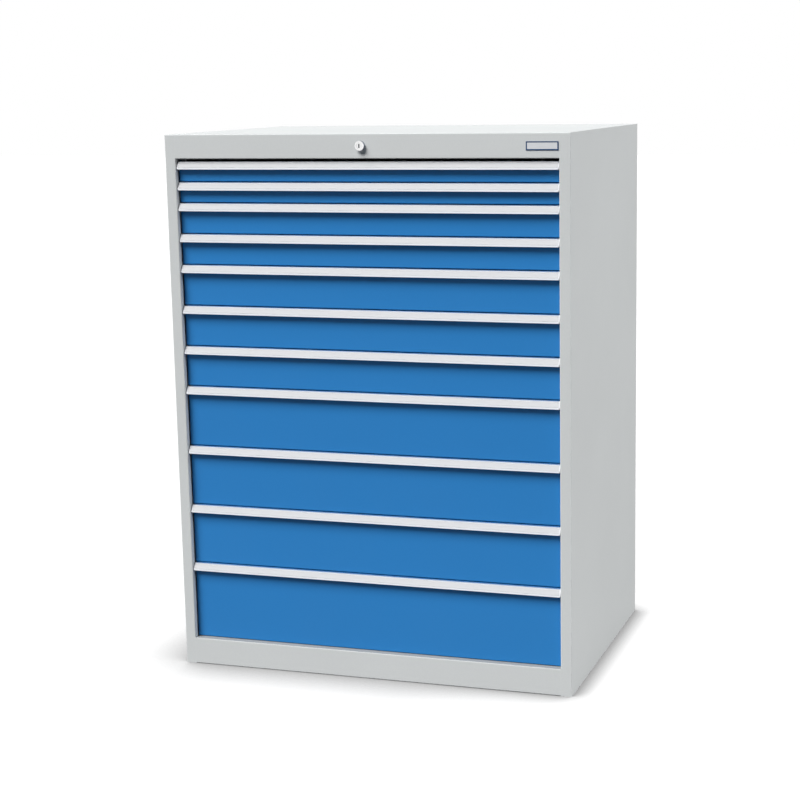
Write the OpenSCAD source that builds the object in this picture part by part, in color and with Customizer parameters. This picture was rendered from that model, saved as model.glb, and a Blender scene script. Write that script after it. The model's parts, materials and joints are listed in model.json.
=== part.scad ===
// Floor-standing steel drawer cabinet: a folded sheet housing, a stack of full-extension drawers
// with grip strips, and a central lock. Z is up, the front looks along -Y, and the origin is on
// the floor under the middle of the housing.

/* [Housing] */
// Outside width of the housing
body_w = 1005; // [860:1:1200]
// Outside depth of the housing
body_d = 736; // [640:1:900]
// Height step that all the fronts are multiples of
raster = 25; // [24:0.5:32]
// Front heights from the top down, in height steps
front_steps = [2, 2, 3, 3, 4, 4, 4, 6, 6, 6, 8]; // whole numbers, 2 or more each
// Height of the rail above the drawers
top_rail_h = 58; // [52:1:90]
// Height of the plinth below the drawers
plinth_h = 67; // [50:1:120]
// Visible width of the posts beside the drawers
post_w = 27; // [22:0.5:40]
// Depth of the return that frames the opening
frame_return = 15; // [8:0.5:16]
// Stiffening lip behind that return
frame_lip = 10; // [5:0.5:14]
// Depth of the plinth's ledge, which runs on under the lowest front
sill_d = 32; // [26:1:40]
// Thickness of the housing sheet
sheet_t = 1.5; // [1:0.1:2]
// Inside radius of the housing's bends
bend_r = 1; // [0.5:0.1:1.5]
// Width of the flanges along the rear and under the foot
flange_w = 25; // [15:1:40]
// Drop of the inner floor below the plinth's top edge
floor_drop = 20; // [14:1:30]

/* [Drawer fronts] */
// Setback of the fronts behind the housing's front face
front_recess = 17; // [17:0.5:24]
// Depth of the folded edges of a front
front_d = 12; // [8:0.5:18]
// Thickness of the sheet of the fronts
front_t = 1.2; // [0.8:0.1:1.5]
// Gap between one front and the next
front_gap = 2; // [1:0.25:3]
// Gap between the lowest front and the plinth's ledge
sill_gap = 1; // [0.75:0.25:2]
// Gap between a front and the posts
side_gap = 1.5; // [1:0.25:4]

/* [Grip strips] */
// Drop of a strip's upper edge below its drawer's step
grip_drop = 6.5; // [4:0.25:8]
// Height of a strip
grip_h = 19; // [17:0.5:24]
// Setback of the strip's upper edge behind the housing's front face
grip_top_in = 10.5; // [9:0.25:12]
// Setback of the strip's lower edge behind the housing's front face
grip_lip_in = 1; // [0.5:0.25:4]
// Wall of the strip
grip_t = 1.5; // [1.2:0.1:2]
// Inside radius of the strip's corners
grip_r = 0.5; // [0.3:0.1:0.8]
// Length of the finger lip turned in under the strip
grip_lip = 5; // [4.5:0.25:6]
// Height of the leg that the strip is fixed with
grip_leg = 11; // [8:0.5:14]
// Width of the ribs that hold the label
rib_w = 1.6; // [1:0.1:2]
// Height of the ribs that hold the label
rib_h = 0.8; // [0.5:0.1:1.2]
// Thickness of the label strip
label_t = 0.5; // [0.3:0.1:0.7]
// Gap between the label and its ribs
label_gap = 0.2; // [0.1:0.1:0.5]
// Thickness of a strip's end caps
cap_t = 2; // [1:0.25:4]
// Seam between pieces that are fixed on each other and move together
seam = 0.05; // [0.02:0.01:0.1]

/* [Trays and slides] */
// Space kept free between the trays and the rear of the housing
rear_space = 115; // [100:1:150]
// Thickness of the tray sheet
tray_t = 1.2; // [1:0.1:1.5]
// Inside radius of the tray's bends
tray_r = 0.8; // [0.5:0.1:1.2]
// Clearance between a tray and the step above it
tray_drop = 12; // [10:0.5:14]
// Clearance between a tray and the lower folded edge of its front
tray_lift = 0.8; // [0.5:0.1:2]
// Width of the flange along the rear of a tray
tray_flange = 8; // [5:0.5:12]
// Space between a tray's side and the upright beside it
slide_space = 20; // [18:0.5:24]
// Setback of the uprights behind the edge of the opening
rail_inset = 3.5; // [3:0.5:8]
// Height of the intermediate slide member
slide_h = 28; // [24:0.5:30]
// Thickness of the slide member's flanges
slide_flange = 4; // [3:0.5:6]
// Thickness of the slide member's web
slide_web = 3; // [2:0.5:5]
// Running clearance of the slides
slide_gap = 0.3; // [0.2:0.05:0.5]
// Depth of the runner channel folded along a tray's side
channel_h = 12; // [8:0.5:14]
// Gap between the runner channel and the cabinet rail
channel_gap = 0.5; // [0.4:0.1:1]
// Thickness of the cabinet rail
rail_t = 2; // [1.5:0.1:2.5]
// Height of the cabinet rail against the uprights
rail_web_h = 22; // [16:0.5:26]
// Height of the cabinet rail's inner lip
rail_lip = 9; // [6:0.5:12]
// Gap between the cabinet rail's lip and the tray
rail_gap = 2; // [1.5:0.25:3]
// Setback of the rails behind the fronts and before the rear of the trays
rail_setback = 3; // [1:0.5:10]

/* [Uprights] */
// Width of an upright
upright_w = 40; // [30:1:60]
// Thickness of an upright's sheet
upright_t = 2; // [1.5:0.1:2.5]
// Distance of the uprights from the ends of the rails
upright_in = 20; // [10:1:60]
// Width of the slots in the uprights
slot_w = 16; // [10:1:20]
// Height of the slots in the uprights
slot_h = 5; // [3:0.5:8]
// Thickness of the hooks that hang a rail in the slots
hook_t = 2; // [1.5:0.1:2.2]
// Width of a hook
hook_w = 14; // [6:0.5:15]
// Drop of a hook behind its upright
hook_drop = 2.5; // [1:0.25:2.5]
// Height of a hook above the bottom of its rail
hook_rise = 6; // [4:0.5:12]
// Clearance round a hook
hook_fit = 0.1; // [0.05:0.05:0.2]

/* [Lock] */
// Height of the lock's axis below the top
lock_drop = 28; // [26:0.5:30]
// Diameter of the lock's collar
collar_d = 23.5; // [22:0.5:30]
// Projection of the collar in front of the housing
collar_h = 10; // [4:0.5:12]
// Chamfer round the collar
collar_chamfer = 1.2; // [0.5:0.1:2]
// Diameter of the lock body
lock_d = 19; // [17:0.5:21]
// Length of the lock body behind the housing's front face
lock_len = 24; // [18:0.5:32]
// Diameter of the turning plug
plug_d = 13; // [11:0.5:14]
// Setback of the plug's face in the collar
plug_in = 0.6; // [0.2:0.1:2]
// Width of the keyway
key_w = 3; // [1.5:0.1:4]
// Height of the keyway
key_h = 9; // [6:0.25:10]
// Depth of the keyway
key_depth = 14; // [8:0.5:20]
// Width across the flats of the lock nut
nut_af = 24; // [23:0.5:30]
// Thickness of the lock nut
nut_t = 5; // [3:0.5:8]
// Clearance round fixed lock pieces
lock_fit = 0.1; // [0.05:0.05:0.2]
// Clearance round the turning pieces of the lock
turn_fit = 0.08; // [0.02:0.01:0.1]

/* [Locking bar] */
// Diameter of the shaft from the lock to the rear
shaft_d = 8; // [6:0.5:10]
// Distance of the crank pin from the shaft's axis
crank_r = 8; // [7:0.25:9]
// Thickness of the crank
crank_t = 5; // [3:0.5:8]
// Diameter of the crank pin
pin_d = 6; // [4:0.5:7]
// Play of the crank pin in the bar's slot
pin_play = 0.4; // [0.35:0.05:0.8]
// Width of the locking bar
bar_w = 36; // [32:1:50]
// Thickness of the locking bar
bar_t = 4; // [3:0.5:6]
// Metal left round the bar's slot and below its last finger
bar_margin = 8; // [5:0.5:12]
// Distance of the bar behind the tray catches
bar_stand = 16; // [12:0.5:24]
// Width of a locking finger
finger_w = 16; // [10:1:24]
// Thickness of a locking finger
finger_t = 3; // [2:0.5:4]
// Height of a finger's upturned tip
finger_rise = 12; // [10:0.5:14]
// Height of the leg that a finger is fixed with
finger_leg = 14; // [10:0.5:18]
// Drop of a finger below its catch when the lock is open
finger_clear = 4.5; // [4:0.25:5]
// Play between a finger and its catch when the lock is shut
finger_play = 2; // [1:0.25:4]
// Reach of a catch behind its tray
catch_reach = 34; // [28:1:45]
// Width of a catch
catch_w = 40; // [24:1:60]
// Height of a catch's lip
catch_lip = 10; // [9:0.5:12]
// Height of the leg that a catch is fixed with
catch_leg = 16; // [12:0.5:20]
// Drop of a catch below its tray's upper edge
catch_drop = 6; // [4:0.5:8]
// Thickness of the catches and brackets
bracket_t = 2; // [1.5:0.1:2.5]
// Width of the brackets
bracket_w = 60; // [54:1:90]
// Height of the brackets' fixing leg
bracket_leg = 25; // [16:1:35]
// Clearance of the bar in its guides
guide_gap = 0.3; // [0.2:0.05:0.5]
// Height of a guide above the bottom of its step
guide_lift = 12; // [8:0.5:16]

/* [Nameplate] */
// Width of the nameplate
plate_w = 76; // [50:1:110]
// Height of the nameplate
plate_h = 20; // [14:0.5:28]
// Thickness of the nameplate
plate_t = 1.2; // [0.8:0.1:2]
// Width of the nameplate's raised border
plate_border = 2; // [1:0.25:4]
// Depth of the nameplate's field below its border
plate_sink = 0.5; // [0.2:0.1:0.7]
// Distance of the nameplate from the edge of the opening
plate_in = 1; // [0:0.5:40]
// Height of the nameplate's middle below the top
plate_drop = 29.5; // [20:0.5:40]

/* [Hidden] */
bend_steps = 4;
$fn = 48;
crank_swing = 45;
guide_drawers = [3, 6, 9];
nut_sides = 6;

housing_grey = [0.78, 0.79, 0.79];
front_blue = [0.16, 0.46, 0.72];
strip_silver = [0.88, 0.88, 0.89];
zinc = [0.72, 0.74, 0.76];
nickel = [0.82, 0.82, 0.80];
plate_blue = [0.24, 0.34, 0.55];

drawer_count = len(front_steps);
last = drawer_count - 1;
half_w = body_w / 2;
front_y = -body_d / 2;
rear_y = body_d / 2;
open_x = half_w - post_w;
open_top = plinth_h + raster * steps_above(drawer_count);
body_h = open_top + top_rail_h;
under_top = body_h - sheet_t;
back_in_y = rear_y - 2 * sheet_t;
floor_z = plinth_h - floor_drop;
bend_out = bend_r + sheet_t;

panel_y = front_y + front_recess;
tray_y0 = panel_y + front_t;
tray_y1 = rear_y - rear_space;
front_w = 2 * (open_x - side_gap);

rail_x = open_x - rail_inset;
tray_x = rail_x - slide_space;
tray_in_x = tray_x - tray_t;
rail_in_x = tray_x + rail_gap;
channel_x = rail_x - rail_t - channel_gap;
slide_x0 = rail_in_x + rail_t + slide_gap;
slide_x1 = channel_x - tray_t - slide_gap;
rail_y0 = panel_y + front_d + rail_setback;
rail_y1 = tray_y1 - rail_setback;
upright_ys = [rail_y0 + upright_in, rail_y1 - upright_in - upright_w];

lock_z = body_h - lock_drop;
plug_y1 = front_y + lock_len;
catch_y = tray_y1 + catch_reach;
bar_y = catch_y + bar_stand;
tip_y = catch_y - bracket_t - finger_play - finger_t;
bar_lift = 2 * crank_r * sin(crank_swing);
crank_y = bar_y - slide_gap - crank_t;
bearing_y = crank_y - slide_gap;
slot_z = lock_z - bar_lift / 2;
slot_half_h = pin_d / 2 + pin_play;

function steps_above(i) = i == 0 ? 0 : steps_above(i - 1) + front_steps[i - 1];
function bay_top(i) = open_top - raster * steps_above(i);
function bay_bottom(i) = open_top - raster * steps_above(i + 1);
function front_top(i) = bay_top(i) - grip_drop;
function front_bottom(i) = i == last ? plinth_h + sill_gap : front_top(i + 1) + front_gap;
function tray_top(i) = bay_top(i) - tray_drop;
function tray_bottom(i) = bay_bottom(i) + front_gap + front_t + tray_lift;
function slide_top(i) = tray_top(i) - tray_t - slide_gap;
function rail_bottom(i) = slide_top(i) - slide_h - slide_gap - rail_t;
function hook_z(i) = rail_bottom(i) + hook_rise;
function catch_z(i) = tray_top(i) - catch_drop;
function finger_top(i) = catch_z(i) - catch_lip - finger_clear;

// A folded sheet's section: the path is one face of the sheet, whose thickness lies on its left
function unit(v) = v / norm(v);
function heading(path, k) = unit(path[k + 1] - path[k]);
function left_of(u) = [-u.y, u.x];
function turned(v, a) = [v.x * cos(a) - v.y * sin(a), v.x * sin(a) + v.y * cos(a)];
function turn_between(u, v) = atan2(u.x * v.y - u.y * v.x, u * v);
function reversed(points) = [for (k = [len(points) - 1:-1:0]) points[k]];
function bend_arc(path, k, t, r, off) =
    let (u = heading(path, k - 1))
    let (a = turn_between(u, heading(path, k)))
    let (s = sign(a))
    let (radius = s > 0 ? r + t : r)
    let (centre = path[k] - radius * tan(abs(a) / 2) * u + s * radius * left_of(u))
    [for (j = [0:bend_steps]) centre - s * (radius - s * off) * turned(left_of(u), a * j / bend_steps)];
function sheet_face(path, t, r, off) =
    let (end = len(path) - 1)
    concat(
        [path[0] + off * left_of(heading(path, 0))],
        [for (k = [1:end - 1]) each bend_arc(path, k, t, r, off)],
        [path[end] + off * left_of(heading(path, end - 1))]
    );

module folded(path, t, r) {
    polygon(concat(sheet_face(path, t, r, 0), reversed(sheet_face(path, t, r, t))));
}

module filled(path, t, r) {
    polygon(sheet_face(path, t, r, 0));
}

// Extrudes a section drawn as (y, z) along X, about the middle
module along_x(length) {
    translate([-length / 2, 0, 0]) rotate([90, 0, 90]) linear_extrude(length) children();
}

// Extrudes a section drawn as (x, z) from y0 to y1
module along_y(y0, y1) {
    translate([0, y1, 0]) rotate([90, 0, 0]) linear_extrude(y1 - y0) children();
}

// A round bar along Y from y0 to y1 on the lock's axis
module on_lock_axis(d, y0, y1) {
    translate([0, y0, lock_z]) rotate([-90, 0, 0]) cylinder(d = d, h = y1 - y0);
}

module both_sides() {
    children();
    mirror([1, 0, 0]) children();
}

// Housing

side_path = [
    [open_x + frame_lip, front_y + frame_return],
    [open_x, front_y + frame_return],
    [open_x, front_y],
    [half_w, front_y],
    [half_w, rear_y],
    [half_w - flange_w, rear_y]
];

// Fills the rounding of the post's inner edge where a rail or the plinth is welded on flush
module corner_weld(z0, z1) {
    translate([open_x, front_y, z0]) cube([bend_out, sheet_t, z1 - z0]);
}

// What is taken off to round the upper front edge over the posts like the bend beside it
module edge_round() {
    along_x(body_w) translate([front_y, body_h]) difference() {
        translate([-bend_out, -bend_out]) square(2 * bend_out);
        translate([bend_out, -bend_out]) circle(bend_out);
        translate([bend_out, -bend_out]) square(2 * bend_out);
        translate([-bend_out, -2 * bend_out]) square([4 * bend_out, bend_out]);
    }
}

module side_panel() {
    difference() {
        union() {
            linear_extrude(under_top) folded(side_path, sheet_t, bend_r);
            corner_weld(0, plinth_h);
            corner_weld(open_top, under_top);
        }
        edge_round();
    }
}

module right_side_panel() {
    color(housing_grey) side_panel();
}

module left_side_panel() {
    color(housing_grey) mirror([1, 0, 0]) side_panel();
}

top_rail_path = [
    [rear_y, body_h],
    [front_y, body_h],
    [front_y, open_top],
    [front_y + frame_return, open_top],
    [front_y + frame_return, open_top + frame_lip]
];

module top_panel() {
    color(housing_grey) difference() {
        union() {
            along_x(2 * open_x) folded(top_rail_path, sheet_t, bend_r);
            difference() {
                translate([-half_w, front_y, under_top]) cube([body_w, body_d, sheet_t]);
                edge_round();
            }
        }
        on_lock_axis(lock_d + 2 * lock_fit, front_y - sheet_t, front_y + 2 * sheet_t);
    }
}

module back_panel() {
    outer_y = rear_y - sheet_t;
    path = [
        [outer_y - flange_w, 0],
        [outer_y, 0],
        [outer_y, under_top],
        [outer_y - flange_w, under_top]
    ];
    color(housing_grey) along_x(body_w - 2 * bend_out) folded(path, sheet_t, bend_r);
}

module front_plinth() {
    path = [
        [front_y + sill_d, plinth_h - frame_lip],
        [front_y + sill_d, plinth_h],
        [front_y, plinth_h],
        [front_y, 0],
        [front_y + flange_w, 0]
    ];
    color(housing_grey) along_x(2 * open_x) folded(path, sheet_t, bend_r);
}

module floor_panel() {
    front_in_y = front_y + sheet_t;
    notch_d = frame_return + slide_gap;
    path = [
        [back_in_y, floor_z - flange_w],
        [back_in_y, floor_z],
        [front_in_y, floor_z],
        [front_in_y, floor_z - flange_w]
    ];
    color(housing_grey) difference() {
        along_x(body_w - 2 * sheet_t) folded(path, sheet_t, bend_r);
        both_sides() translate([open_x, front_y, 0]) cube([post_w, notch_d, plinth_h]);
    }
}

// Uprights and cabinet rails

module upright(y0) {
    path = [
        [half_w - sheet_t, y0 + upright_w],
        [rail_x, y0 + upright_w],
        [rail_x, y0],
        [half_w - sheet_t, y0]
    ];
    slot_y = y0 + (upright_w - slot_w) / 2;
    difference() {
        translate([0, 0, floor_z]) linear_extrude(under_top - floor_z) folded(path, upright_t, bend_r);
        for (k = [0:steps_above(drawer_count) - 1])
            translate([rail_x - upright_t, slot_y, hook_z(0) - k * raster])
                cube([3 * upright_t, slot_w, slot_h]);
    }
}

module uprights() {
    color(zinc) both_sides() for (y0 = upright_ys) upright(y0);
}

// A hook that passes through an upright's slot and drops behind it
module rail_hook(y0, z) {
    hook_x = rail_x + upright_t + hook_fit;
    root_x = rail_x - rail_t / 2;
    translate([0, y0 + (upright_w - hook_w) / 2, z]) {
        translate([root_x, 0, hook_fit]) cube([hook_x + hook_t - root_x, hook_w, hook_t]);
        translate([hook_x, 0, -hook_drop]) cube([hook_t, hook_w, hook_drop + hook_fit + hook_t]);
    }
}

module cabinet_rail(i) {
    z0 = rail_bottom(i);
    path = [
        [rail_in_x, z0 + rail_lip],
        [rail_in_x, z0],
        [rail_x, z0],
        [rail_x, z0 + rail_web_h]
    ];
    along_y(rail_y0, rail_y1) folded(path, rail_t, tray_r);
    for (y0 = upright_ys) rail_hook(y0, hook_z(i));
}

module cabinet_rails() {
    color(zinc) both_sides() for (i = [0:last]) cabinet_rail(i);
}

// Drawers

module drawer_slides(i) {
    width = slide_x1 - slide_x0;
    waist = (width - slide_web) / 2;
    waist_h = slide_h - 2 * slide_flange;
    z0 = slide_top(i) - slide_h;
    color(zinc) both_sides() along_y(rail_y0, rail_y1) difference() {
        translate([slide_x0, z0]) square([width, slide_h]);
        translate([slide_x0 - waist, z0 + slide_flange]) square([2 * waist, waist_h]);
        translate([slide_x1 - waist, z0 + slide_flange]) square([2 * waist, waist_h]);
    }
}

module tray_shell(i) {
    top = tray_top(i);
    bottom = tray_bottom(i);
    floor_top = bottom + tray_t;
    section = [
        [channel_x, top - channel_h],
        [channel_x, top],
        [tray_in_x, top],
        [tray_in_x, floor_top],
        [-tray_in_x, floor_top],
        [-tray_in_x, top],
        [-channel_x, top],
        [-channel_x, top - channel_h]
    ];
    rear_wall = [
        [tray_y1 - tray_t, bottom],
        [tray_y1 - tray_t, top],
        [tray_y1 + tray_flange, top]
    ];
    wall_w = 2 * tray_in_x + tray_t;
    along_y(tray_y0, tray_y1) folded(section, tray_t, tray_r);
    along_x(wall_w) mirror([1, 0]) folded([for (p = rear_wall) [-p.x, p.y]], tray_t, tray_r);
    translate([-wall_w / 2, tray_y0, bottom]) cube([wall_w, tray_t, top - bottom]);
}

module lock_catch(i) {
    z = catch_z(i);
    path = [
        [catch_y, z - catch_lip],
        [catch_y, z],
        [tray_y1 + seam, z],
        [tray_y1 + seam, z - catch_leg]
    ];
    along_x(catch_w) folded(path, bracket_t, tray_r);
}

module drawer_tray(i) {
    color(housing_grey) {
        tray_shell(i);
        lock_catch(i);
    }
}

module drawer_front(i) {
    path = [
        [panel_y + front_d, front_top(i)],
        [panel_y, front_top(i)],
        [panel_y, front_bottom(i)],
        [panel_y + front_d, front_bottom(i)]
    ];
    color(front_blue) {
        along_x(front_w) folded(path, front_t, tray_r);
        both_sides() translate([(front_w - front_t) / 2, 0, 0])
            along_x(front_t) filled(path, front_t, tray_r);
    }
}

// The strip's section, from the upper edge of the front: fixing leg, top, sloped face and finger lip
grip_face_top = [grip_top_in - front_recess, 0];
grip_face_bottom = [grip_lip_in - front_recess, -grip_h];
grip_slope = grip_face_bottom - grip_face_top;
grip_path = [
    [0, -grip_leg],
    [0, 0],
    grip_face_top,
    grip_face_bottom,
    grip_face_bottom + [grip_lip, 0]
];

// Where the straight part of the sloped face begins and ends, along it
grip_bend_top = (grip_r + grip_t) * tan(turn_between([-1, 0], grip_slope) / 2);
grip_bend_bottom = (grip_r + grip_t) * tan(turn_between(grip_slope, [1, 0]) / 2);
label_from = grip_bend_top + rib_w + label_gap;
label_to = norm(grip_slope) - grip_bend_bottom - rib_w - label_gap;

// Draws on the sloped face: x runs down it, and -y stands out from it
module on_grip_face() {
    translate(grip_face_top) rotate(atan2(grip_slope.y, grip_slope.x)) children();
}

module grip_section() {
    folded(grip_path, grip_t, grip_r);
    on_grip_face() for (x = [grip_bend_top, label_to + label_gap])
        translate([x, -rib_h]) square([rib_w, rib_h + grip_t / 2]);
}

module drawer_handle(i) {
    strip_w = front_w - 2 * (cap_t + seam);
    color(strip_silver) translate([0, panel_y, front_top(i)]) {
        along_x(strip_w) grip_section();
        along_x(strip_w) on_grip_face() translate([label_from, -label_t - seam])
            square([label_to - label_from, label_t]);
        both_sides() translate([(front_w - cap_t) / 2, 0, 0])
            along_x(cap_t) filled(grip_path, grip_t, grip_r);
    }
}

// Lock

module lock_housing() {
    bore_d = plug_d + 2 * turn_fit;
    color(nickel) translate([0, front_y, lock_z]) rotate([-90, 0, 0]) rotate_extrude() polygon([
        [bore_d / 2, -collar_h],
        [collar_d / 2 - collar_chamfer, -collar_h],
        [collar_d / 2, -collar_h + collar_chamfer],
        [collar_d / 2, 0],
        [lock_d / 2, 0],
        [lock_d / 2, lock_len],
        [bore_d / 2, lock_len]
    ]);
}

module lock_nut() {
    y0 = front_y + sheet_t;
    nut_d = nut_af / cos(180 / nut_sides);
    color(zinc) difference() {
        translate([0, y0, lock_z]) rotate([-90, 0, 0]) cylinder(d = nut_d, h = nut_t, $fn = nut_sides);
        on_lock_axis(lock_d + 2 * lock_fit, y0 - nut_t, y0 + 2 * nut_t);
    }
}

module lock_plug() {
    face_y = front_y - collar_h + plug_in;
    color(nickel) difference() {
        on_lock_axis(plug_d, face_y, plug_y1);
        translate([-key_w / 2, face_y - key_depth, lock_z - key_h / 2]) cube([key_w, 2 * key_depth, key_h]);
    }
}

// The crank pin starts at the lower left and swings up through a quarter turn
module at_crank_pin() {
    translate([-crank_r * cos(crank_swing), 0, -crank_r * sin(crank_swing)]) children();
}

module lock_shaft() {
    crank_d = 2 * crank_r + pin_d + 2 * bracket_t;
    color(zinc) {
        on_lock_axis(shaft_d, plug_y1, crank_y + crank_t);
        on_lock_axis(crank_d, crank_y, crank_y + crank_t);
        at_crank_pin() on_lock_axis(pin_d, crank_y, bar_y + bar_t + bracket_t);
    }
}

module shaft_bearing() {
    path = [
        [bearing_y, lock_z - shaft_d / 2 - bar_margin],
        [bearing_y, under_top],
        [bearing_y - bracket_leg, under_top]
    ];
    color(zinc) difference() {
        along_x(bracket_w) folded(path, bracket_t, bend_r);
        on_lock_axis(shaft_d + 2 * turn_fit, bearing_y - 2 * bracket_t, bearing_y + bracket_t);
    }
}

// A folded finger fixed on the bar, whose tip rises into the catch of its tray
module finger(i) {
    z0 = finger_top(i) - finger_rise;
    seat_y = bar_y - seam;
    path = [
        [tip_y, finger_top(i)],
        [tip_y, z0],
        [seat_y, z0],
        [seat_y, z0 + finger_leg]
    ];
    along_x(finger_w) folded(path, finger_t, tray_r);
}

module locking_bar() {
    z0 = finger_top(last) - finger_rise - bar_margin;
    z1 = slot_z + slot_half_h + bar_margin;
    slot_x0 = -crank_r - pin_d / 2 - pin_play;
    slot_x1 = -crank_r * cos(crank_swing) + pin_d / 2 + pin_play;
    color(zinc) {
        difference() {
            translate([-bar_w / 2, bar_y, z0]) cube([bar_w, bar_t, z1 - z0]);
            translate([slot_x0, bar_y - bar_t, slot_z - slot_half_h])
                cube([slot_x1 - slot_x0, 3 * bar_t, 2 * slot_half_h]);
        }
        for (i = [0:last]) finger(i);
    }
}

module bar_guide(z) {
    guide_y = bar_y - bar_margin;
    path = [
        [back_in_y, z - bracket_leg],
        [back_in_y, z],
        [guide_y, z]
    ];
    difference() {
        along_x(bracket_w) folded(path, bracket_t, bend_r);
        translate([-bar_w / 2 - guide_gap, bar_y - guide_gap, z - 2 * bracket_t])
            cube([bar_w + 2 * guide_gap, bar_t + 2 * guide_gap, 3 * bracket_t]);
    }
}

module bar_guides() {
    color(zinc) {
        bar_guide(open_top);
        for (i = guide_drawers) bar_guide(bay_bottom(i) + guide_lift);
    }
}

module nameplate() {
    x0 = open_x - plate_in - plate_w;
    z0 = body_h - plate_drop - plate_h / 2;
    color(plate_blue) difference() {
        translate([x0, front_y - plate_t, z0]) cube([plate_w, plate_t, plate_h]);
        translate([x0 + plate_border, front_y - 2 * plate_t, z0 + plate_border])
            cube([plate_w - 2 * plate_border, plate_t + plate_sink, plate_h - 2 * plate_border]);
    }
}

// Nodes

function drawer_node(i, piece) = str("drawer_", i < 9 ? "0" : "", i + 1, "_", piece);

left_side_panel();
right_side_panel();
top_panel();
back_panel();
front_plinth();
floor_panel();
uprights();
cabinet_rails();
nameplate();
lock_housing();
lock_nut();
lock_plug();
lock_shaft();
shaft_bearing();
locking_bar();
bar_guides();
for (i = [0:last]) {
    drawer_tray(i);
    drawer_front(i);
    drawer_handle(i);
    drawer_slides(i);
}
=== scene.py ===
"""Looks of a floor-standing steel drawer cabinet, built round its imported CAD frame."""

import json
import math

import bmesh
import bpy
from mathutils import Matrix, Vector


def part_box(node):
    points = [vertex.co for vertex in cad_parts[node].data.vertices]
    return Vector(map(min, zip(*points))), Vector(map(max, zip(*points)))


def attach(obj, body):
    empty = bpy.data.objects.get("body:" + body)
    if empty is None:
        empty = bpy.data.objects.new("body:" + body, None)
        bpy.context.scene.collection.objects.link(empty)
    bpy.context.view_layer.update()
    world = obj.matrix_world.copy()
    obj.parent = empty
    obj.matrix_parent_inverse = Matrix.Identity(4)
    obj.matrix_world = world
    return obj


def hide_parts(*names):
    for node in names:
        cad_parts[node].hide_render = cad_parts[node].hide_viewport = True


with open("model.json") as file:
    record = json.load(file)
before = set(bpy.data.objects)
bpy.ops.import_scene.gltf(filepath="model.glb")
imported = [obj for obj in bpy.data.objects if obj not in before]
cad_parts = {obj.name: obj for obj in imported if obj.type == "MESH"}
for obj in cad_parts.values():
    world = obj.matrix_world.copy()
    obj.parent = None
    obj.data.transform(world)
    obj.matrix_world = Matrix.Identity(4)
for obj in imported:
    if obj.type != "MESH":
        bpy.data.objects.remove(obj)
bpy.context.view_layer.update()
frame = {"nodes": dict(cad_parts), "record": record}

nodes = frame["nodes"]
scene = bpy.context.scene
scene.view_settings.view_transform = "Standard"

MM = 0.001
DRAWER_COUNT, BEND_STEPS = 11, 5
DRAWERS = [f"{i + 1:02d}" for i in range(DRAWER_COUNT)]
OPENINGS = {o["name"]: o["box_m"] for o in frame["record"]["physics"]["openings"]}

# Sheet sizes, in millimetres, that the boxes of the CAD nodes don't give
SEAM = 0.05
TRAY_T, TRAY_R = 1.2, 0.8
CHANNEL_H = 12
TRAY_FLANGE = 8
INSIDE_MARGIN = 1
CATCH_T, CATCH_W, CATCH_LIP, CATCH_LEG, CATCH_DROP, CATCH_REACH = 2, 40, 10, 16, 6, 34

# Slots in the tray walls. A wall with at least TWO_ROWS of room has two rows of them
SLOT_W, SLOT_FOOT, SLOT_HEAD, SLOT_SPACE, TWO_ROWS = 3, 6, 14, 10, 56
WALL_PITCH, SIDE_PITCH = 25, 50

# Screw heads inside the trays and spot welds at the rear, with (radius, height) profiles
SCREW_COUNT, SCREW_PITCH, SCREW_GAP, SCREW_SIDES = 4, 275, 0.01, 18
SCREW_HEAD = [(4.2, 0), (4.2, 0.6), (3.7, 1.5), (2.6, 2.1), (1.7, 2.2), (1.5, 0.9), (0, 0.7)]
WELD_COUNT, WELD_FOOT, WELD_INSET, WELD_SIDES = 12, 60, 12.5, 20
WELD_MARK = [(3.6, 0), (3.4, 0.14), (2.9, 0.18), (2.4, 0.1), (0, 0.06)]

# Grip strip: its path as (y, z) from the top of its leg on the panel, its ribs, label and caps
GRIP_T, GRIP_R = 1.5, 0.5
GRIP_PATH = [(0, -11), (0, 0), (-6.5, 0), (-16, -19), (-11, -19)]
RIB_W, RIB_H, RIB_ROUND, RIB_INSET = 1.6, 0.8, 0.25, 0.02
LABEL_T, LABEL_GAP, LABEL_EDGE, LABEL_END = 0.5, 0.2, 0.12, 0.5
CAP_T, CAP_EDGE = 2, 0.4

# Edges that turn less than SHARP are shaded as bends, and points within the join distances are one.
# A path that turns less than STRAIGHT has no bend, and TOUCH is how far off a wall its points may be
SHARP = math.radians(32)
NODE_JOIN, PIECE_JOIN = 0.002 * MM, 0.001 * MM
STRAIGHT, TOUCH = 1e-6, 0.001


# Materials

# EDGE_R is the radius of the paler edges, and the reach is how far the painted corner shade looks
EDGE_R, CORNER_SHADE_REACH = 1.2 * MM, 60 * MM
PLATE_BORDER = 2.8 * MM


def srgb(r, g, b):
    """A colour given in the eight-bit values that it shows on screen, as linear light."""
    def linear(c):
        c /= 255
        return c / 12.92 if c <= 0.04045 else ((c + 0.055) / 1.055) ** 2.4
    return (linear(r), linear(g), linear(b), 1)


def shade(colour, factor):
    """A colour made lighter or darker."""
    return tuple(c * factor for c in colour[:3]) + (1,)


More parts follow.
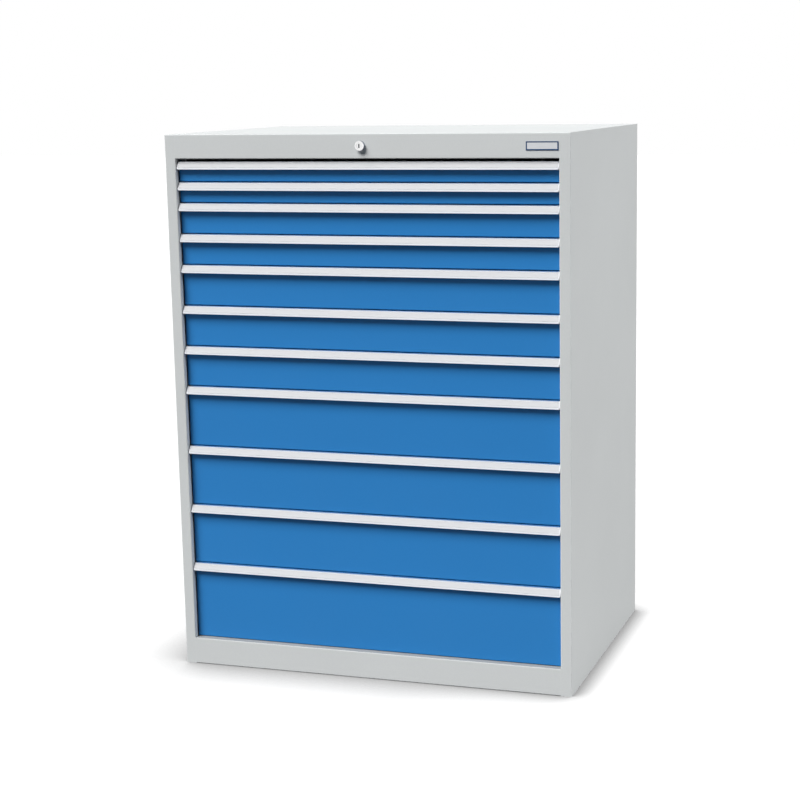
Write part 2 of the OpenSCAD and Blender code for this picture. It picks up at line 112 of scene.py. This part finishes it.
class Nodes:
    """The node tree of a material or a world, with short calls for adding and joining nodes."""

    def __init__(self, owner):
        owner.use_nodes = True
        self.owner = owner
        self.tree = owner.node_tree
        self.tree.nodes.clear()

    def add(self, kind, inputs=None, **settings):
        """A new node with its settings. Its inputs are constants or the sockets of other nodes."""
        node = self.tree.nodes.new("ShaderNode" + kind)
        for key, value in settings.items():
            setattr(node, key, value)
        for key, value in (inputs or {}).items():
            if isinstance(value, bpy.types.NodeSocket):
                self.tree.links.new(value, node.inputs[key])
            else:
                node.inputs[key].default_value = value
        return node

    def coords(self, stretch=None):
        out = self.add("TexCoord").outputs["Object"]
        if stretch is None:
            return out
        return self.add("Mapping", {"Vector": out, "Scale": stretch}).outputs["Vector"]

    def noise(self, vector, scale, detail=2.0, rough=0.5):
        inputs = {"Vector": vector, "Scale": scale, "Detail": detail, "Roughness": rough}
        return self.add("TexNoise", inputs).outputs["Fac"]

    def ramp(self, fac, low, high, a=0.3, b=0.7):
        """A blend from one colour to another while a value goes from a to b."""
        node = self.add("ValToRGB", {"Fac": fac})
        first, second = node.color_ramp.elements
        first.position, first.color = a, low
        second.position, second.color = b, high
        return node.outputs["Color"]

    def span(self, value, low, high, a=0.0, b=1.0):
        """A blend from one number to another while a value goes from a to b."""
        inputs = {"Value": value, "From Min": a, "From Max": b, "To Min": low, "To Max": high}
        return self.add("MapRange", inputs).outputs["Result"]

    def mix(self, fac, a, b):
        """A blend of two colours. The node's sockets for colours are inputs 6 and 7 and output 2."""
        return self.add("Mix", {0: fac, 6: a, 7: b}, data_type="RGBA").outputs[2]

    def math(self, operation, a, b=0.0):
        return self.add("Math", {0: a, 1: b}, operation=operation).outputs[0]

    def vector(self, operation, a, b, output="Vector"):
        return self.add("VectorMath", {0: a, 1: b}, operation=operation).outputs[output]

    def normal(self, axis):
        """How far the surface faces along an axis."""
        faces = self.add("NewGeometry").outputs["Normal"]
        return self.add("SeparateXYZ", {"Vector": faces}).outputs[axis]

    def bump(self, height, strength, distance):
        inputs = {"Height": height, "Strength": strength, "Distance": distance}
        return self.add("Bump", inputs).outputs["Normal"]

    def seen(self):
        """1 for the rays that look at the stage, straight, mirrored or through glass."""
        path = self.add("LightPath").outputs
        direct = self.math("MAXIMUM", path["Is Camera Ray"], path["Is Glossy Ray"])
        return self.math("MAXIMUM", direct, path["Is Transmission Ray"])

    def surface(self, **inputs):
        """Ends a material in one shader. An underscore in an input's name stands for a space."""
        named = {key.replace("_", " "): value for key, value in inputs.items()}
        shader = self.add("BsdfPrincipled", named)
        self.add("OutputMaterial", {"Surface": shader.outputs["BSDF"]})
        return self.owner


def new_material(name):
    return Nodes(bpy.data.materials.new(name))


def edge_mask(n, radius):
    """1 on the edges of a folded sheet and 0 on its flats."""
    rounded = n.add("Bevel", {"Radius": radius}, samples=4).outputs["Normal"]
    flat = n.add("NewGeometry").outputs["Normal"]
    agree = n.vector("DOT_PRODUCT", rounded, flat, output="Value")
    return n.span(agree, 1.0, 0.0, a=0.8, b=0.99)


def painted_corner_shade(n, reach):
    """1 on upward faces that lie in a corner, where painted shade darkens the paint, and 0 elsewhere.
    """
    open_air = n.add("AmbientOcclusion", {"Distance": reach}, samples=8).outputs["AO"]
    in_corner = n.span(open_air, 1.0, 0.0, a=0.88, b=0.985)
    upward = n.span(n.normal("Z"), 0.0, 1.0, a=0.15, b=0.5)
    return n.math("MULTIPLY", in_corner, upward)


def powder_coat(name, colour, specular, rough=(0.42, 0.56), edge_wear_and_highlight=1.12, painted_shade=0.0):
    """Fine-texture powder coat: slow drift of tone, a sub-millimetre grain, paler edges for thinner
    paint and a painted highlight, and optional painted shade in corners.
    """
    n = new_material(name)
    at = n.coords()
    drift = n.noise(at, scale=2.3, detail=3.0)
    grains = n.noise(at, scale=1500.0, rough=0.6)
    specks = n.noise(at, scale=420.0, detail=1.0)
    tone = n.ramp(drift, shade(colour, 0.975), shade(colour, 1.02))
    fleck = n.ramp(specks, shade(colour, 0.965), shade(colour, 1.03), a=0.35, b=0.65)
    tone = n.mix(0.35, tone, fleck)
    # Paler edges: thinner paint on the bends, and a painted highlight along them
    edges = n.math("MULTIPLY", edge_mask(n, EDGE_R), 0.5)
    tone = n.mix(edges, tone, shade(colour, edge_wear_and_highlight))
    # Painted shade: upward faces in corners, such as the plinth's ledge, take a darker copy of the
    # colour
    if painted_shade:
        tone = n.mix(painted_corner_shade(n, CORNER_SHADE_REACH), tone, shade(colour, 1 - painted_shade))
    return n.surface(
        Base_Color=tone,
        Roughness=n.span(n.noise(at, scale=9.0, detail=4.0), *rough, a=0.3, b=0.7),
        Specular_IOR_Level=specular,
        Normal=n.bump(grains, strength=0.16, distance=0.2 * MM),
    )


def brushed(name, colour, stretch, rough):
    """Bare metal with fine lines along one direction."""
    n = new_material(name)
    lines = n.noise(n.coords(stretch), scale=1.0, detail=3.0, rough=0.65)
    clouds = n.noise(n.coords(), scale=14.0)
    dark = shade(colour, 0.96)
    tone = n.ramp(lines, dark, shade(colour, 1.04))
    tone = n.mix(0.3, tone, n.ramp(clouds, dark, colour))
    return n.surface(
        Base_Color=tone,
        Metallic=1.0,
        Roughness=n.span(lines, *rough, a=0.25, b=0.75),
        Normal=n.bump(lines, strength=0.12, distance=0.1 * MM),
    )


def zinc_plate(name, colour):
    """Bright zinc plating: soft spangle, faint rolling lines and duller patches."""
    n = new_material(name)
    at = n.coords()
    cells = {"Vector": at, "Scale": 160.0, "Randomness": 1.0}
    spangle = n.add("TexVoronoi", cells, feature="SMOOTH_F1").outputs["Color"]
    patches = n.noise(at, scale=7.0, detail=4.0)
    lines = n.noise(n.coords((30.0, 900.0, 900.0)), scale=1.0)
    tone = n.ramp(spangle, shade(colour, 0.9), shade(colour, 1.06), a=0.1, b=0.9)
    tone = n.mix(0.4, tone, n.ramp(patches, shade(colour, 0.86), shade(colour, 1.05)))
    return n.surface(
        Base_Color=tone,
        Metallic=1.0,
        Roughness=n.span(patches, 0.26, 0.46, a=0.3, b=0.7),
        Normal=n.bump(lines, strength=0.08, distance=0.1 * MM),
    )


def moulded(name, colour, rough, coat=0.0):
    """Moulded plastic, or card under a film, with a fine even grain."""
    n = new_material(name)
    grain = n.noise(n.coords(), scale=2200.0)
    fibres = n.noise(n.coords((160.0, 900.0, 900.0)), scale=1.0, detail=3.0)
    return n.surface(
        Base_Color=n.ramp(fibres, shade(colour, 0.975), shade(colour, 1.02)),
        Roughness=n.span(grain, rough - 0.05, rough + 0.06),
        Coat_Weight=coat,
        Coat_Roughness=0.22,
        Normal=n.bump(grain, strength=0.06, distance=0.1 * MM),
    )


def turned(name, colour, shaded_side_colour, centre):
    """Satin nickel with the rings that turning leaves round the lock's axis, and darker sides that
    are painted shade.
    """
    n = new_material(name)
    at = n.coords()
    across = n.vector("MULTIPLY", n.vector("SUBTRACT", at, centre), (1.0, 0.0, 1.0))
    radius = n.add("VectorMath", {0: across}, operation="LENGTH").outputs["Value"]
    rings = n.noise(n.add("CombineXYZ", {"X": radius}).outputs["Vector"], scale=4200.0)
    clouds = n.noise(at, scale=130.0)
    # The collar's side walls take a darker colour, which is painted shade
    on_side = n.span(n.math("ABSOLUTE", n.normal("Y")), 1.0, 0.0, a=0.25, b=0.75)
    face = n.ramp(clouds, shade(colour, 0.95), shade(colour, 1.03))
    return n.surface(
        Base_Color=n.mix(on_side, face, shaded_side_colour),
        Metallic=1.0,
        Roughness=n.span(rings, 0.16, 0.3, a=0.3, b=0.7),
        Normal=n.bump(rings, strength=0.1, distance=0.05 * MM),
    )


def plate_finish(name, border, field, low, high, border_w):
    """A printed plate: a border of even width in one colour, round a bare field."""
    n = new_material(name)
    at = n.coords()
    place = n.add("SeparateXYZ", {"Vector": at}).outputs
    past = []
    for axis in "xz":
        middle = (getattr(low, axis) + getattr(high, axis)) / 2
        reach = getattr(high, axis) - middle - border_w
        out = n.math("ABSOLUTE", n.math("SUBTRACT", place[axis.upper()], middle))
        past.append(n.math("SUBTRACT", out, reach))
    printed = n.math("GREATER_THAN", n.math("MAXIMUM", *past), 0.0)
    lines = n.noise(n.coords((40.0, 1500.0, 1500.0)), scale=1.0)
    silver = n.ramp(lines, shade(field, 0.94), shade(field, 1.04))
    ink = n.ramp(n.noise(at, scale=300.0), shade(border, 0.9), shade(border, 1.1))
    return n.surface(
        Base_Color=n.mix(printed, silver, ink),
        Metallic=n.span(printed, 0.3, 0.0),
        Roughness=n.span(lines, 0.32, 0.42),
        Normal=n.bump(lines, strength=0.05, distance=0.1 * MM),
    )


plate_lo, plate_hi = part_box("nameplate")
lock_lo, lock_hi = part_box("lock_housing")
lock_axis = ((lock_lo.x + lock_hi.x) / 2, lock_lo.y, (lock_lo.z + lock_hi.z) / 2)

GREY = srgb(200, 202, 201)
BLUE = srgb(43, 119, 182)
SILVER = srgb(243, 246, 250)
CARD = srgb(190, 190, 191)
CAP_GREY = srgb(216, 216, 219)
ZINC = srgb(196, 200, 205)
# The nickel's second colour is painted shade on the lock collar's side walls
NICKEL, NICKEL_SHADED_SIDE = srgb(236, 236, 236), srgb(142, 152, 166)
PLATE_INK, PLATE_FIELD = srgb(14, 56, 96), srgb(204, 206, 209)

# The housing's paint carries painted shade on its upward faces in corners
housing_paint = powder_coat("housing_paint_grey", GREY, 0.04, rough=(0.52, 0.64), painted_shade=0.5)
front_paint = powder_coat("front_paint_blue", BLUE, 0.22, rough=(0.4, 0.5), edge_wear_and_highlight=1.18)
tray_paint = powder_coat("tray_paint_grey", shade(GREY, 0.94), 0.35, rough=(0.46, 0.6))
grip_metal = brushed("grip_satin_aluminium", SILVER, (9.0, 1400.0, 1400.0), (0.46, 0.6))
label_card = moulded("label_card", CARD, 0.45, coat=0.1)
cap_plastic = moulded("cap_plastic", CAP_GREY, 0.45)
zinc = zinc_plate("zinc_plated_steel", ZINC)
nickel = turned("satin_nickel", NICKEL, NICKEL_SHADED_SIDE, lock_axis)
plate_print = plate_finish("nameplate_print", PLATE_INK, PLATE_FIELD, plate_lo, plate_hi,
                           PLATE_BORDER)


# Mesh tools

def fold_shading():
    """A modifier tree that joins a node's faces and shades its bends as smooth curves."""
    group = bpy.data.node_groups.new("fold_shading", "GeometryNodeTree")
    for way in ("INPUT", "OUTPUT"):
        group.interface.new_socket("Geometry", in_out=way, socket_type="NodeSocketGeometry")
    add = group.nodes.new
    link = group.links.new
    start, end = add("NodeGroupInput"), add("NodeGroupOutput")
    merge = add("GeometryNodeMergeByDistance")
    merge.inputs["Distance"].default_value = NODE_JOIN
    angle = add("GeometryNodeInputMeshEdgeAngle")
    sharp = add("FunctionNodeCompare")
    sharp.operation = "GREATER_THAN"
    sharp.inputs[1].default_value = SHARP
    normals = add("GeometryNodeSetMeshNormal")
    normals.mode = "SHARPNESS"
    normals.inputs["Remove Custom"].default_value = True
    normals.inputs["Face Sharpness"].default_value = False
    link(start.outputs[0], merge.inputs["Geometry"])
    link(merge.outputs["Geometry"], normals.inputs["Mesh"])
    link(angle.outputs["Unsigned Angle"], sharp.inputs[0])
    link(sharp.outputs["Result"], normals.inputs["Edge Sharpness"])
    link(normals.outputs["Mesh"], end.inputs[0])
    return group


FOLDS = fold_shading()


def keep_flats(obj):
    """Lets the flats of a sheet, and not its narrow bends, set the shading along their edges."""
    weights = obj.modifiers.new("flats", "WEIGHTED_NORMAL")
    weights.mode = "FACE_AREA"
    weights.keep_sharp = True


def dress(node, material, smooth=True):
    """Gives a CAD node its material, and smooth bends."""
    obj = nodes[node]
    obj.material_slots[0].material = material
    if smooth:
        obj.modifiers.new("folds", "NODES").node_group = FOLDS
        keep_flats(obj)


def new_piece(name, bm, materials, body):
    """Makes a mesh piece in place and lets it ride on its body."""
    bmesh.ops.remove_doubles(bm, verts=bm.verts, dist=PIECE_JOIN)
    bmesh.ops.recalc_face_normals(bm, faces=bm.faces)
    for edge in bm.edges:
        edge.smooth = len(edge.link_faces) == 2 and edge.calc_face_angle(0) < SHARP
    for face in bm.faces:
        face.smooth = True
    mesh = bpy.data.meshes.new(name)
    bm.to_mesh(mesh)
    bm.free()
    for material in materials:
        mesh.materials.append(material)
    obj = bpy.data.objects.new(name, mesh)
    scene.collection.objects.link(obj)
    keep_flats(obj)
    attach(obj, body)
    return obj


def left_of(u):
    return Vector((-u.y, u.x))


def sheet_section(path, t, r):
    """Both faces of a folded sheet's section. The path is one face, with the sheet on its left."""
    points = [Vector(p) for p in path]
    ways = [(b - a).normalized() for a, b in zip(points, points[1:])]
    face, back = [points[0]], [points[0] + t * left_of(ways[0])]
    for p, u, w in zip(points[1:-1], ways, ways[1:]):
        turn = math.atan2(u.x * w.y - u.y * w.x, u.dot(w))
        if abs(turn) < STRAIGHT:
            face.append(p)
            back.append(p + t * left_of(u))
            continue
        side = math.copysign(1, turn)
        radius = r + t if side > 0 else r
        centre = p - radius * math.tan(abs(turn) / 2) * u + side * radius * left_of(u)
        for k in range(BEND_STEPS + 1):
            out = Matrix.Rotation(turn * k / BEND_STEPS, 2) @ left_of(u)
            face.append(centre - side * radius * out)
            back.append(centre - side * (radius - side * t) * out)
    return face + [points[-1]], back + [points[-1] + t * left_of(ways[-1])]


def add_sheet(bm, section, along, put, gone=None, material=0):
    """Sweeps a sheet's section along stations, leaving out the cells that gone(i, j) names."""
    rows, cols = len(section[0]) - 1, len(along) - 1
    made = {}

    def vert(i, j, side):
        if (i, j, side) not in made:
            p = section[side][i]
            made[i, j, side] = bm.verts.new(put(p.x, p.y, along[j]) * MM)
        return made[i, j, side]

    def solid(i, j):
        return 0 <= i < rows and 0 <= j < cols and not (gone and gone(i, j))

    def quad(*corners):
        bm.faces.new([vert(*c) for c in corners]).material_index = material

    for i in range(rows):
        for j in range(cols):
            if not solid(i, j):
                continue
            quad((i, j, 0), (i, j + 1, 0), (i + 1, j + 1, 0), (i + 1, j, 0))
            quad((i, j, 1), (i + 1, j, 1), (i + 1, j + 1, 1), (i, j + 1, 1))
            if not solid(i - 1, j):
                quad((i, j, 0), (i, j, 1), (i, j + 1, 1), (i, j + 1, 0))
            if not solid(i + 1, j):
                quad((i + 1, j, 0), (i + 1, j + 1, 0), (i + 1, j + 1, 1), (i + 1, j, 1))
            if not solid(i, j - 1):
                quad((i, j, 0), (i + 1, j, 0), (i + 1, j, 1), (i, j, 1))
            if not solid(i, j + 1):
                quad((i, j + 1, 0), (i, j + 1, 1), (i + 1, j + 1, 1), (i + 1, j + 1, 0))


def add_prism(bm, rings, material=0):
    """Joins closed rings of points with bands and closes both ends."""
    loops = [[bm.verts.new(p * MM) for p in ring] for ring in rings]
    faces = [bm.faces.new(loops[0]), bm.faces.new(loops[-1])]
    for low, high in zip(loops, loops[1:]):
        for k, vert in enumerate(low):
            j = (k + 1) % len(low)
            faces.append(bm.faces.new((vert, low[j], high[j], high[k])))
    for face in faces:
        face.material_index = material


def add_turned(bm, centre, axis, profile, sides, material=0):
    """Turns (radius, height) points round an axis. A point of radius 0 closes its end."""
    base = Vector(axis).to_track_quat("Z", "Y").to_matrix()
    rings = []
    for r, h in profile:
        turns = [2 * math.pi * k / sides for k in range(1 if r == 0 else sides)]
        places = [Vector((r * math.cos(a), r * math.sin(a), h)) for a in turns]
        rings.append([bm.verts.new((centre + base @ p) * MM) for p in places])
    for low, high in zip(rings, rings[1:]):
        for k in range(sides):
            corners = []
            for ring, j in ((low, k), (low, k + 1), (high, k + 1), (high, k)):
                vert = ring[j % len(ring)]
                if vert not in corners:
                    corners.append(vert)
            bm.faces.new(corners).material_index = material


# Drawers

def slot_spans(low, high, pitch):
    """Slot edges at a pitch about the middle of a wall, as a sorted list with the wall's ends."""
    count = int((high - low - pitch) // pitch)
    first = (low + high) / 2 - pitch * (count - 1) / 2
    edges = [first + k * pitch + s * SLOT_W / 2 for k in range(count) for s in (-1, 1)]
    return [low] + edges + [high]


def slot_rows(bottom, top):
    """Heights of the slot rows in a tray's wall: one row in low trays, two in tall ones."""
    low, high = bottom + SLOT_FOOT, top - SLOT_HEAD
    if high - low < TWO_ROWS:
        return [(low, high)]
    middle = (low + high) / 2
    return [(low, middle - SLOT_SPACE / 2), (middle + SLOT_SPACE / 2, high)]


def add_wall(bm, path, half_w, rows):
    """A slotted wall across the tray, with its section given as (y, z)."""
    section = sheet_section(path, TRAY_T, TRAY_R)
    stations = slot_spans(-half_w, half_w, WALL_PITCH)
    heights = [p.y for p in section[0]]

    def gone(i, j):
        middle = (heights[i] + heights[i + 1]) / 2
        return j % 2 == 1 and any(a < middle < b for a, b in rows)

    add_sheet(bm, section, stations, lambda y, z, x: Vector((x, y, z)), gone)


def make_tray(number):
    """The drawer's tray with slotted walls, a lock catch behind it and screw heads in front."""
    lo, hi = (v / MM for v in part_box(f"drawer_{number}_tray"))
    inside_hi = Vector(OPENINGS[f"drawer_{number}_inside"][1]) / MM
    in_x = inside_hi.x + INSIDE_MARGIN
    y0, y1 = lo.y, inside_hi.y + INSIDE_MARGIN + TRAY_T
    bottom, top, channel_x = lo.z, hi.z, hi.x
    floor_top = bottom + TRAY_T
    rows = slot_rows(bottom, top)
    edges = [z for row in rows for z in row]
    bm = bmesh.new()

    # The floor, both sides and their runner channels are one folded sheet
    path = [(channel_x, top - CHANNEL_H), (channel_x, top), (in_x, top)]
    path += [(in_x, z) for z in reversed(edges)]
    path += [(in_x, floor_top), (-in_x, floor_top)]
    path += [(-in_x, z) for z in edges]
    path += [(-in_x, top), (-channel_x, top), (-channel_x, top - CHANNEL_H)]
    section = sheet_section(path, TRAY_T, TRAY_R)
    on_side = [abs(abs(a.x) - in_x) < TOUCH and abs(abs(b.x) - in_x) < TOUCH
               for a, b in zip(section[0], section[0][1:])]

    def gone(i, j):
        middle = (section[0][i].y + section[0][i + 1].y) / 2
        return j % 2 == 1 and on_side[i] and any(a < middle < b for a, b in rows)

    stations = slot_spans(y0 + TRAY_T + SEAM, y1 - TRAY_T - SEAM, SIDE_PITCH)
    add_sheet(bm, section, stations, lambda x, z, y: Vector((x, y, z)), gone)

    half_w = in_x + TRAY_T
    front_y, rear_y = y0 + TRAY_T, y1 - TRAY_T
    front = [(front_y, bottom)] + [(front_y, z) for z in edges] + [(front_y, top)]
    add_wall(bm, front, half_w, rows)
    rear = [(y1 + TRAY_FLANGE, top), (rear_y, top)]
    rear += [(rear_y, z) for z in reversed(edges)] + [(rear_y, bottom)]
    add_wall(bm, rear, half_w, rows)

    catch_z = top - CATCH_DROP
    seat = y1 + SEAM
    hook = [(y1 + CATCH_REACH, catch_z - CATCH_LIP), (y1 + CATCH_REACH, catch_z),
            (seat, catch_z), (seat, catch_z - CATCH_LEG)]
    add_sheet(bm, sheet_section(hook, CATCH_T, TRAY_R), [-CATCH_W / 2, CATCH_W / 2],
              lambda y, z, x: Vector((x, y, z)), material=1)

    screw_z = (edges[0] + edges[1]) / 2
    for k in range(SCREW_COUNT):
        screw = Vector(((k - (SCREW_COUNT - 1) / 2) * SCREW_PITCH, front_y + SCREW_GAP, screw_z))
        add_turned(bm, screw, (0, 1, 0), SCREW_HEAD, SCREW_SIDES, material=1)

    tray = new_piece(f"tray_{number}", bm, [tray_paint, zinc], f"drawer_{number}")
    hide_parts(f"drawer_{number}_tray")


def grip_outline():
    """The strip's section with its label ribs, the label on the sloped face, and the end cap."""
    face, back = sheet_section(GRIP_PATH, GRIP_T, GRIP_R)
    # The slope runs from the last point of the path's second bend to the first of its third
    slope_end = 1 + 2 * (BEND_STEPS + 1)
    a, b = face[slope_end - 1], face[slope_end]
    down = (b - a).normalized()
    out = -left_of(down)
    length = (b - a).length

    def on_slope(marks):
        return [a + s * down + h * out for s, h in marks]

    def rib(start):
        shoulder, end = RIB_H - RIB_ROUND, start + RIB_W
        return on_slope([(start, 0), (start, shoulder), (start + RIB_ROUND, RIB_H),
                         (end - RIB_ROUND, RIB_H), (end, shoulder), (end, 0)])

    ribs = rib(RIB_INSET) + rib(length - RIB_W - RIB_INSET)
    outline = face[:slope_end] + ribs + face[slope_end:] + list(reversed(back))
    upper, lower = RIB_W + LABEL_GAP, length - RIB_W - LABEL_GAP
    top = LABEL_T + SEAM
    label = on_slope([(upper, SEAM), (upper, top - LABEL_EDGE), (upper + LABEL_EDGE, top),
                      (lower - LABEL_EDGE, top), (lower, top - LABEL_EDGE), (lower, SEAM)])
    return outline, label, face


def make_grip(number):
    """The drawer's grip strip with its label and two end caps."""
    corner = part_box(f"drawer_{number}_handle")[1] / MM
    outline, label, cap = grip_outline()
    bm = bmesh.new()

    def ring(points, x):
        return [Vector((x, corner.y + p.x, corner.z + p.y)) for p in points]

    strip_x = corner.x - CAP_T - SEAM
    label_x = strip_x - LABEL_END
    add_prism(bm, [ring(outline, -strip_x), ring(outline, strip_x)])
    add_prism(bm, [ring(label, -label_x), ring(label, label_x)], material=1)
    middle = sum(cap, Vector((0, 0))) / len(cap)
    small = [p + (middle - p).normalized() * CAP_EDGE for p in cap]
    for side in (-1, 1):
        ends = [(cap, corner.x - CAP_T), (cap, corner.x - CAP_EDGE), (small, corner.x)]
        add_prism(bm, [ring(points, side * x) for points, x in ends], material=2)
    grip = new_piece(f"grip_{number}", bm, [grip_metal, label_card, cap_plastic],
                     f"drawer_{number}")
    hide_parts(f"drawer_{number}_handle")


for number in DRAWERS:
    make_tray(number)
    make_grip(number)
    dress(f"drawer_{number}_front", front_paint)
    dress(f"drawer_{number}_slides", zinc)


# Housing and lock

PAINTED = ("left_side_panel", "right_side_panel", "top_panel", "back_panel", "front_plinth",
           "floor_panel")
PLATED = ("uprights", "cabinet_rails", "lock_nut", "lock_shaft", "shaft_bearing", "locking_bar",
          "bar_guides")
for node in PAINTED:
    dress(node, housing_paint)
for node in PLATED:
    dress(node, zinc)
for node in ("lock_housing", "lock_plug"):
    dress(node, nickel)
dress("nameplate", plate_print, smooth=False)


def make_weld_marks():
    """Shallow spot-weld rings along the rear flanges, under the paint."""
    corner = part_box("right_side_panel")[1] / MM
    step = (corner.z - 2 * WELD_FOOT) / (WELD_COUNT - 1)
    bm = bmesh.new()
    for side in (-1, 1):
        for k in range(WELD_COUNT):
            centre = Vector((side * (corner.x - WELD_INSET), corner.y, WELD_FOOT + k * step))
            add_turned(bm, centre, (0, 1, 0), WELD_MARK, WELD_SIDES)
    new_piece("rear_weld_marks", bm, [housing_paint], "housing")


make_weld_marks()


# Stage, light and camera

WHITE = (1, 1, 1, 1)

# The floor, in metres, gives little bounced light and looks white. Its shadow round the cabinet's
# foot reaches further at the left than at the right, and is full where SHADOW_FULL of the sky is open
FLOOR_HALF = 30
FLOOR_BOUNCE = ((0.08, 0.08, 0.081, 1), (0.09, 0.09, 0.091, 1))
FLOOR_LOOK, FLOOR_GLOW = (0.08, 0.08, 0.08, 1), 1.02
SHADOW_REACH, SHADOW_X = (0.2, 0.055), (0.1, 0.55)
SHADOW_FULL = 0.25

# The dome's level at heights from the horizon (0) to the zenith (1), and its tint
DOME_LEVELS = [(0.0, 0.08), (0.3, 0.16), (1.0, 0.05)]
DOME_TINT = (0.82, 0.97, 1.2)

# Lamps: strength, azimuth (0 is in front, 90 at the right), elevation and spread in degrees, and
# whether gloss shows them
LAMPS = {
    "key": (5.04, -36, 49.1, 34, False),
    "right_fill": (2.45, 90.5, 6, 10, True),
    "rear_fill": (1.8, -150, 6, 10, False),
}

# The photograph's viewpoint, in metres, from the perspective of the grip strips and the housing
CAMERA_PLACE = Vector((1.4604, -4.2804, 1.4381))
CAMERA_AZIMUTH, CAMERA_FALL, CAMERA_ROLL = (math.radians(a) for a in (17.734, 10.604, -0.85))
FOCAL_PX, FRAME_PX, CENTRE_PX = 1775.1, 800, (450, 415)
SENSOR_MM = 36


def make_floor():
    """A pale floor with a soft shadow round the cabinet's foot."""
    bm = bmesh.new()
    bmesh.ops.create_grid(bm, x_segments=1, y_segments=1, size=FLOOR_HALF)
    mesh = bpy.data.meshes.new("floor")
    bm.to_mesh(mesh)
    bm.free()
    n = new_material("floor_pale")
    bounce = n.add("BsdfDiffuse", {"Color": n.ramp(n.noise(n.coords(), scale=1.5), *FLOOR_BOUNCE)})
    look = n.add("BsdfDiffuse", {"Color": FLOOR_LOOK})
    across = n.add("SeparateXYZ", {"Vector": n.coords()}).outputs["X"]
    reach = n.span(across, *SHADOW_REACH, *SHADOW_X)
    open_sky = n.add("AmbientOcclusion", {"Distance": reach}, samples=8).outputs["AO"]
    level = n.span(open_sky, 0.0, FLOOR_GLOW, a=SHADOW_FULL)
    glow = n.add("Emission", {"Color": WHITE, "Strength": level})
    lit = n.add("AddShader", {0: look.outputs[0], 1: glow.outputs[0]})
    both = n.add("MixShader", {0: n.seen(), 1: bounce.outputs[0], 2: lit.outputs[0]})
    n.add("OutputMaterial", {"Surface": both.outputs[0]})
    mesh.materials.append(n.owner)
    floor = bpy.data.objects.new("floor", mesh)
    scene.collection.objects.link(floor)


def make_world():
    """A dim dome of light on a white background."""
    scene.world = bpy.data.worlds.new("studio")
    n = Nodes(scene.world)
    up = n.add("SeparateXYZ", {"Vector": n.add("TexCoord").outputs["Generated"]}).outputs["Z"]
    band = n.add("ValToRGB", {"Fac": up})
    stops = band.color_ramp.elements
    while len(stops) < len(DOME_LEVELS):
        stops.new(0.5)
    for stop, (position, level) in zip(stops, DOME_LEVELS):
        stop.position, stop.color = position, shade(DOME_TINT, level)
    light = n.add("Background", {"Color": band.outputs["Color"], "Strength": 1.0})
    white = n.add("Background", {"Color": WHITE, "Strength": 1.0})
    both = n.add("MixShader", {0: n.seen(), 1: light.outputs[0], 2: white.outputs[0]})
    n.add("OutputWorld", {"Surface": both.outputs[0]})


def make_sun(name, strength, azimuth, elevation, spread, glossy):
    """A soft distant lamp."""
    data = bpy.data.lights.new(name, "SUN")
    data.energy = strength
    data.angle = math.radians(spread)
    a, e = math.radians(azimuth), math.radians(elevation)
    source = Vector((math.sin(a) * math.cos(e), -math.cos(a) * math.cos(e), math.sin(e)))
    lamp = bpy.data.objects.new(name, data)
    lamp.rotation_mode = "QUATERNION"
    lamp.rotation_quaternion = source.to_track_quat("Z", "Y")
    lamp.visible_glossy = glossy
    scene.collection.objects.link(lamp)


def make_camera():
    """A level look along the azimuth, tilted by the fall and turned by the roll."""
    along = Vector((-math.sin(CAMERA_AZIMUTH), math.cos(CAMERA_AZIMUTH), 0))
    ahead = math.cos(CAMERA_FALL) * along - math.sin(CAMERA_FALL) * Vector((0, 0, 1))
    right = Vector((along.y, -along.x, 0))
    up = right.cross(ahead)
    turned_right = math.cos(CAMERA_ROLL) * right + math.sin(CAMERA_ROLL) * up
    turned_up = math.cos(CAMERA_ROLL) * up - math.sin(CAMERA_ROLL) * right
    data = bpy.data.cameras.new("camera")
    data.sensor_width = SENSOR_MM
    data.lens = FOCAL_PX / FRAME_PX * SENSOR_MM
    data.shift_x = 0.5 - CENTRE_PX[0] / FRAME_PX
    data.shift_y = CENTRE_PX[1] / FRAME_PX - 0.5
    camera = bpy.data.objects.new("camera", data)
    axes = Matrix((turned_right, turned_up, -ahead)).transposed()
    camera.matrix_world = Matrix.Translation(CAMERA_PLACE) @ axes.to_4x4()
    scene.collection.objects.link(camera)
    scene.camera = camera


make_floor()
make_world()
for name, settings in LAMPS.items():
    make_sun(name, *settings)
make_camera()
